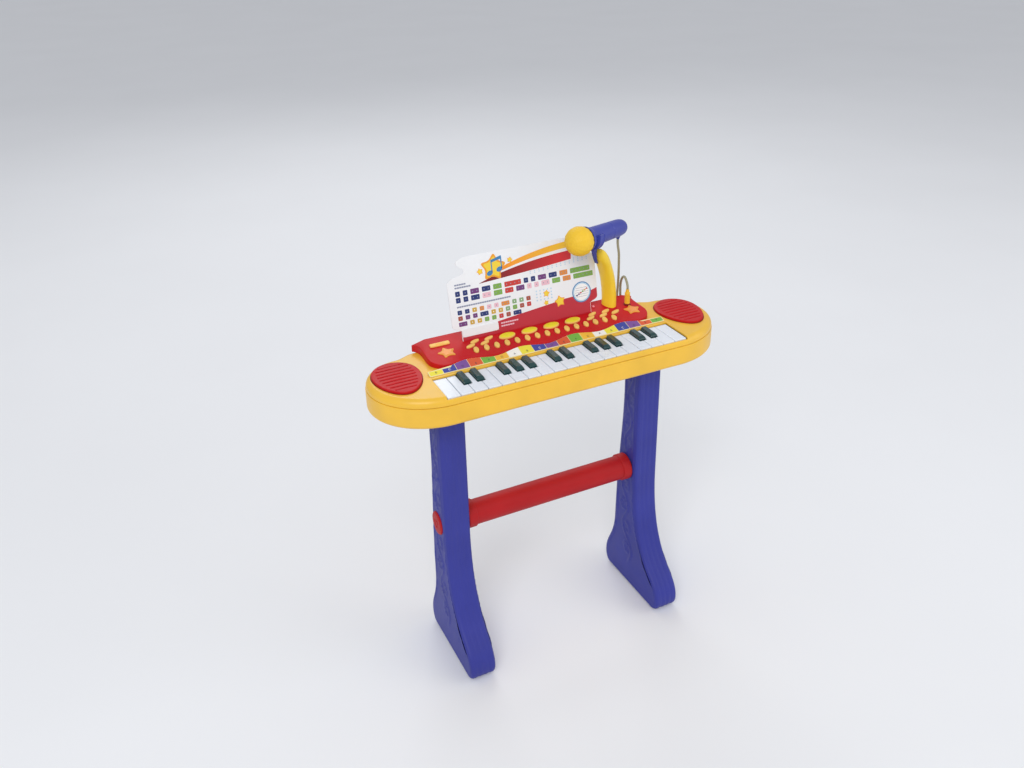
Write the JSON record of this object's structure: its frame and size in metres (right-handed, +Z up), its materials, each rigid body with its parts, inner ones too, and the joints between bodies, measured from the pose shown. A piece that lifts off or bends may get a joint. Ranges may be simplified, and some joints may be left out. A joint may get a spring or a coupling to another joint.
{
  "type": "toy electronic keyboard",
  "caption": "Child's electronic keyboard on a two-legged stand, with sprung keys and buttons, song board and a microphone on a curved arm.",
  "frame": {"origin": "on the floor, at the middle of the footprint", "axes": "+X to the player's right, +Y away from the player, +Z up"},
  "size_m": [0.496, 0.1633, 0.5874],
  "materials": {
    "case_yellow": "satin moulded plastic",
    "arm_yellow": "satin moulded plastic",
    "ball_yellow": "satin with moulded mesh",
    "plug_yellow": "ribbed",
    "panel_red": "satin moulded plastic",
    "bar_red": "satin tube",
    "label_print": "printed label",
    "song_card": "printed sheet",
    "leg_blue": "satin with moulded relief",
    "mic_blue": "satin moulded plastic",
    "speaker_cone": "paper cone",
    "circuit_board": "satin",
    "socket_metal": "polished",
    "cord_vinyl": "satin vinyl",
    "key_white": "gloss",
    "key_black": "gloss",
    "button_cream": "matte silicone",
    "button_lemon": "matte silicone"
  },
  "bodies": {
    "case": {"lower_case": "case_yellow", "upper_case": "case_yellow", "control_panel": "panel_red", "note_label_strip": "label_print", "left_speaker_grille": "panel_red", "right_speaker_grille": "panel_red", "left_speaker": "speaker_cone", "right_speaker": "speaker_cone", "left_leg": "leg_blue", "right_leg": "leg_blue", "crossbar": "bar_red", "main_circuit_board": "circuit_board", "mic_arm": "arm_yellow", "mic_holder": "mic_blue", "mic_socket": "socket_metal", "mic_plug": "plug_yellow", "mic_cord": "cord_vinyl"},
    "white_key_01": {"white_key_01": "key_white"},
    "white_key_02": {"white_key_02": "key_white"},
    "white_key_03": {"white_key_03": "key_white"},
    "white_key_04": {"white_key_04": "key_white"},
    "white_key_05": {"white_key_05": "key_white"},
    "white_key_06": {"white_key_06": "key_white"},
    "white_key_07": {"white_key_07": "key_white"},
    "white_key_08": {"white_key_08": "key_white"},
    "white_key_09": {"white_key_09": "key_white"},
    "white_key_10": {"white_key_10": "key_white"},
    "white_key_11": {"white_key_11": "key_white"},
    "white_key_12": {"white_key_12": "key_white"},
    "white_key_13": {"white_key_13": "key_white"},
    "white_key_14": {"white_key_14": "key_white"},
    "white_key_15": {"white_key_15": "key_white"},
    "white_key_16": {"white_key_16": "key_white"},
    "white_key_17": {"white_key_17": "key_white"},
    "white_key_18": {"white_key_18": "key_white"},
    "white_key_19": {"white_key_19": "key_white"},
    "black_key_01": {"black_key_01": "key_black"},
    "black_key_02": {"black_key_02": "key_black"},
    "black_key_03": {"black_key_03": "key_black"},
    "black_key_04": {"black_key_04": "key_black"},
    "black_key_05": {"black_key_05": "key_black"},
    "black_key_06": {"black_key_06": "key_black"},
    "black_key_07": {"black_key_07": "key_black"},
    "black_key_08": {"black_key_08": "key_black"},
    "black_key_09": {"black_key_09": "key_black"},
    "black_key_10": {"black_key_10": "key_black"},
    "black_key_11": {"black_key_11": "key_black"},
    "black_key_12": {"black_key_12": "key_black"},
    "power_switch": {"power_switch": "button_cream"},
    "drum_pad_1": {"drum_pad_1": "button_lemon"},
    "drum_pad_2": {"drum_pad_2": "button_lemon"},
    "drum_pad_3": {"drum_pad_3": "button_lemon"},
    "drum_pad_4": {"drum_pad_4": "button_lemon"},
    "left_function_keypad": {"left_function_keypad": "button_cream"},
    "right_function_keypad": {"right_function_keypad": "button_cream"},
    "sound_button_strip": {"sound_button_strip": "button_cream"},
    "battery_cover": {"battery_cover": "case_yellow"},
    "song_board": {"song_board": "song_card"},
    "microphone": {"mic_handle": "mic_blue", "mic_head": "ball_yellow"}
  },
  "joints": [
    {"name": "microphone_lift", "type": "slide", "parent": "case", "child": "microphone", "axis": [0.0441, 0.0168, 0.9989], "range_m": [0, 0.022]},
    {"name": "song_board_lift", "type": "slide", "parent": "case", "child": "song_board", "axis": [0, 0.2079, 0.9781], "range_m": [0, 0.03]},
    {"name": "battery_cover_slide", "type": "slide", "parent": "case", "child": "battery_cover", "axis": [0, 1, 0], "range_m": [0, 0.045]},
    {"name": "power_switch_slide", "type": "slide", "parent": "case", "child": "power_switch", "axis": [1, 0, 0], "range_m": [-0.0045, 0.0045]},
    {"name": "left_function_keypad_press", "type": "slide", "parent": "case", "child": "left_function_keypad", "axis": [0, 0, -1], "range_m": [0, 0.0014], "stiffness_N_per_m": 600, "springref_m": -0.001},
    {"name": "right_function_keypad_press", "type": "slide", "parent": "case", "child": "right_function_keypad", "axis": [0, 0, -1], "range_m": [0, 0.0014], "stiffness_N_per_m": 600, "springref_m": -0.001},
    {"name": "sound_button_strip_press", "type": "slide", "parent": "case", "child": "sound_button_strip", "axis": [0, 0, -1], "range_m": [0, 0.0014], "stiffness_N_per_m": 600, "springref_m": -0.001},
    {"name": "drum_pad_1_press", "type": "slide", "parent": "case", "child": "drum_pad_1", "axis": [0, 0, -1], "range_m": [0, 0.0014], "stiffness_N_per_m": 600, "springref_m": -0.001},
    {"name": "drum_pad_2_press", "type": "slide", "parent": "case", "child": "drum_pad_2", "axis": [0, 0, -1], "range_m": [0, 0.0014], "stiffness_N_per_m": 600, "springref_m": -0.001},
    {"name": "drum_pad_3_press", "type": "slide", "parent": "case", "child": "drum_pad_3", "axis": [0, 0, -1], "range_m": [0, 0.0014], "stiffness_N_per_m": 600, "springref_m": -0.001},
    {"name": "drum_pad_4_press", "type": "slide", "parent": "case", "child": "drum_pad_4", "axis": [0, 0, -1], "range_m": [0, 0.0014], "stiffness_N_per_m": 600, "springref_m": -0.001},
    {"name": "white_key_01_press", "type": "hinge", "parent": "case", "child": "white_key_01", "pos_m": [-0.162, 0.0155, 0.4305], "axis": [1, 0, 0], "range_deg": [0, 3.4], "stiffness_Nm_per_rad": 0.25, "springref_deg": -3.44},
    {"name": "white_key_02_press", "type": "hinge", "parent": "case", "child": "white_key_02", "pos_m": [-0.144, 0.0155, 0.4305], "axis": [1, 0, 0], "range_deg": [0, 3.4], "stiffness_Nm_per_rad": 0.25, "springref_deg": -3.44},
    {"name": "white_key_03_press", "type": "hinge", "parent": "case", "child": "white_key_03", "pos_m": [-0.126, 0.0155, 0.4305], "axis": [1, 0, 0], "range_deg": [0, 3.4], "stiffness_Nm_per_rad": 0.25, "springref_deg": -3.44},
    {"name": "white_key_04_press", "type": "hinge", "parent": "case", "child": "white_key_04", "pos_m": [-0.108, 0.0155, 0.4305], "axis": [1, 0, 0], "range_deg": [0, 3.4], "stiffness_Nm_per_rad": 0.25, "springref_deg": -3.44},
    {"name": "white_key_05_press", "type": "hinge", "parent": "case", "child": "white_key_05", "pos_m": [-0.09, 0.0155, 0.4305], "axis": [1, 0, 0], "range_deg": [0, 3.4], "stiffness_Nm_per_rad": 0.25, "springref_deg": -3.44},
    {"name": "white_key_06_press", "type": "hinge", "parent": "case", "child": "white_key_06", "pos_m": [-0.072, 0.0155, 0.4305], "axis": [1, 0, 0], "range_deg": [0, 3.4], "stiffness_Nm_per_rad": 0.25, "springref_deg": -3.44},
    {"name": "white_key_07_press", "type": "hinge", "parent": "case", "child": "white_key_07", "pos_m": [-0.054, 0.0155, 0.4305], "axis": [1, 0, 0], "range_deg": [0, 3.4], "stiffness_Nm_per_rad": 0.25, "springref_deg": -3.44},
    {"name": "white_key_08_press", "type": "hinge", "parent": "case", "child": "white_key_08", "pos_m": [-0.036, 0.0155, 0.4305], "axis": [1, 0, 0], "range_deg": [0, 3.4], "stiffness_Nm_per_rad": 0.25, "springref_deg": -3.44},
    {"name": "white_key_09_press", "type": "hinge", "parent": "case", "child": "white_key_09", "pos_m": [-0.018, 0.0155, 0.4305], "axis": [1, 0, 0], "range_deg": [0, 3.4], "stiffness_Nm_per_rad": 0.25, "springref_deg": -3.44},
    {"name": "white_key_10_press", "type": "hinge", "parent": "case", "child": "white_key_10", "pos_m": [0, 0.0155, 0.4305], "axis": [1, 0, 0], "range_deg": [0, 3.4], "stiffness_Nm_per_rad": 0.25, "springref_deg": -3.44},
    {"name": "white_key_11_press", "type": "hinge", "parent": "case", "child": "white_key_11", "pos_m": [0.018, 0.0155, 0.4305], "axis": [1, 0, 0], "range_deg": [0, 3.4], "stiffness_Nm_per_rad": 0.25, "springref_deg": -3.44},
    {"name": "white_key_12_press", "type": "hinge", "parent": "case", "child": "white_key_12", "pos_m": [0.036, 0.0155, 0.4305], "axis": [1, 0, 0], "range_deg": [0, 3.4], "stiffness_Nm_per_rad": 0.25, "springref_deg": -3.44},
    {"name": "white_key_13_press", "type": "hinge", "parent": "case", "child": "white_key_13", "pos_m": [0.054, 0.0155, 0.4305], "axis": [1, 0, 0], "range_deg": [0, 3.4], "stiffness_Nm_per_rad": 0.25, "springref_deg": -3.44},
    {"name": "white_key_14_press", "type": "hinge", "parent": "case", "child": "white_key_14", "pos_m": [0.072, 0.0155, 0.4305], "axis": [1, 0, 0], "range_deg": [0, 3.4], "stiffness_Nm_per_rad": 0.25, "springref_deg": -3.44},
    {"name": "white_key_15_press", "type": "hinge", "parent": "case", "child": "white_key_15", "pos_m": [0.09, 0.0155, 0.4305], "axis": [1, 0, 0], "range_deg": [0, 3.4], "stiffness_Nm_per_rad": 0.25, "springref_deg": -3.44},
    {"name": "white_key_16_press", "type": "hinge", "parent": "case", "child": "white_key_16", "pos_m": [0.108, 0.0155, 0.4305], "axis": [1, 0, 0], "range_deg": [0, 3.4], "stiffness_Nm_per_rad": 0.25, "springref_deg": -3.44},
    {"name": "white_key_17_press", "type": "hinge", "parent": "case", "child": "white_key_17", "pos_m": [0.126, 0.0155, 0.4305], "axis": [1, 0, 0], "range_deg": [0, 3.4], "stiffness_Nm_per_rad": 0.25, "springref_deg": -3.44},
    {"name": "white_key_18_press", "type": "hinge", "parent": "case", "child": "white_key_18", "pos_m": [0.144, 0.0155, 0.4305], "axis": [1, 0, 0], "range_deg": [0, 3.4], "stiffness_Nm_per_rad": 0.25, "springref_deg": -3.44},
    {"name": "white_key_19_press", "type": "hinge", "parent": "case", "child": "white_key_19", "pos_m": [0.162, 0.0155, 0.4305], "axis": [1, 0, 0], "range_deg": [0, 3.4], "stiffness_Nm_per_rad": 0.25, "springref_deg": -3.44},
    {"name": "black_key_01_press", "type": "hinge", "parent": "case", "child": "black_key_01", "pos_m": [-0.135, 0.0155, 0.4305], "axis": [1, 0, 0], "range_deg": [0, 3.4], "stiffness_Nm_per_rad": 0.25, "springref_deg": -3.44},
    {"name": "black_key_02_press", "type": "hinge", "parent": "case", "child": "black_key_02", "pos_m": [-0.117, 0.0155, 0.4305], "axis": [1, 0, 0], "range_deg": [0, 3.4], "stiffness_Nm_per_rad": 0.25, "springref_deg": -3.44},
    {"name": "black_key_03_press", "type": "hinge", "parent": "case", "child": "black_key_03", "pos_m": [-0.081, 0.0155, 0.4305], "axis": [1, 0, 0], "range_deg": [0, 3.4], "stiffness_Nm_per_rad": 0.25, "springref_deg": -3.44},
    {"name": "black_key_04_press", "type": "hinge", "parent": "case", "child": "black_key_04", "pos_m": [-0.063, 0.0155, 0.4305], "axis": [1, 0, 0], "range_deg": [0, 3.4], "stiffness_Nm_per_rad": 0.25, "springref_deg": -3.44},
    {"name": "black_key_05_press", "type": "hinge", "parent": "case", "child": "black_key_05", "pos_m": [-0.045, 0.0155, 0.4305], "axis": [1, 0, 0], "range_deg": [0, 3.4], "stiffness_Nm_per_rad": 0.25, "springref_deg": -3.44},
    {"name": "black_key_06_press", "type": "hinge", "parent": "case", "child": "black_key_06", "pos_m": [-0.009, 0.0155, 0.4305], "axis": [1, 0, 0], "range_deg": [0, 3.4], "stiffness_Nm_per_rad": 0.25, "springref_deg": -3.44},
    {"name": "black_key_07_press", "type": "hinge", "parent": "case", "child": "black_key_07", "pos_m": [0.009, 0.0155, 0.4305], "axis": [1, 0, 0], "range_deg": [0, 3.4], "stiffness_Nm_per_rad": 0.25, "springref_deg": -3.44},
    {"name": "black_key_08_press", "type": "hinge", "parent": "case", "child": "black_key_08", "pos_m": [0.045, 0.0155, 0.4305], "axis": [1, 0, 0], "range_deg": [0, 3.4], "stiffness_Nm_per_rad": 0.25, "springref_deg": -3.44},
    {"name": "black_key_09_press", "type": "hinge", "parent": "case", "child": "black_key_09", "pos_m": [0.063, 0.0155, 0.4305], "axis": [1, 0, 0], "range_deg": [0, 3.4], "stiffness_Nm_per_rad": 0.25, "springref_deg": -3.44},
    {"name": "black_key_10_press", "type": "hinge", "parent": "case", "child": "black_key_10", "pos_m": [0.081, 0.0155, 0.4305], "axis": [1, 0, 0], "range_deg": [0, 3.4], "stiffness_Nm_per_rad": 0.25, "springref_deg": -3.44},
    {"name": "black_key_11_press", "type": "hinge", "parent": "case", "child": "black_key_11", "pos_m": [0.117, 0.0155, 0.4305], "axis": [1, 0, 0], "range_deg": [0, 3.4], "stiffness_Nm_per_rad": 0.25, "springref_deg": -3.44},
    {"name": "black_key_12_press", "type": "hinge", "parent": "case", "child": "black_key_12", "pos_m": [0.135, 0.0155, 0.4305], "axis": [1, 0, 0], "range_deg": [0, 3.4], "stiffness_Nm_per_rad": 0.25, "springref_deg": -3.44}
  ]
}
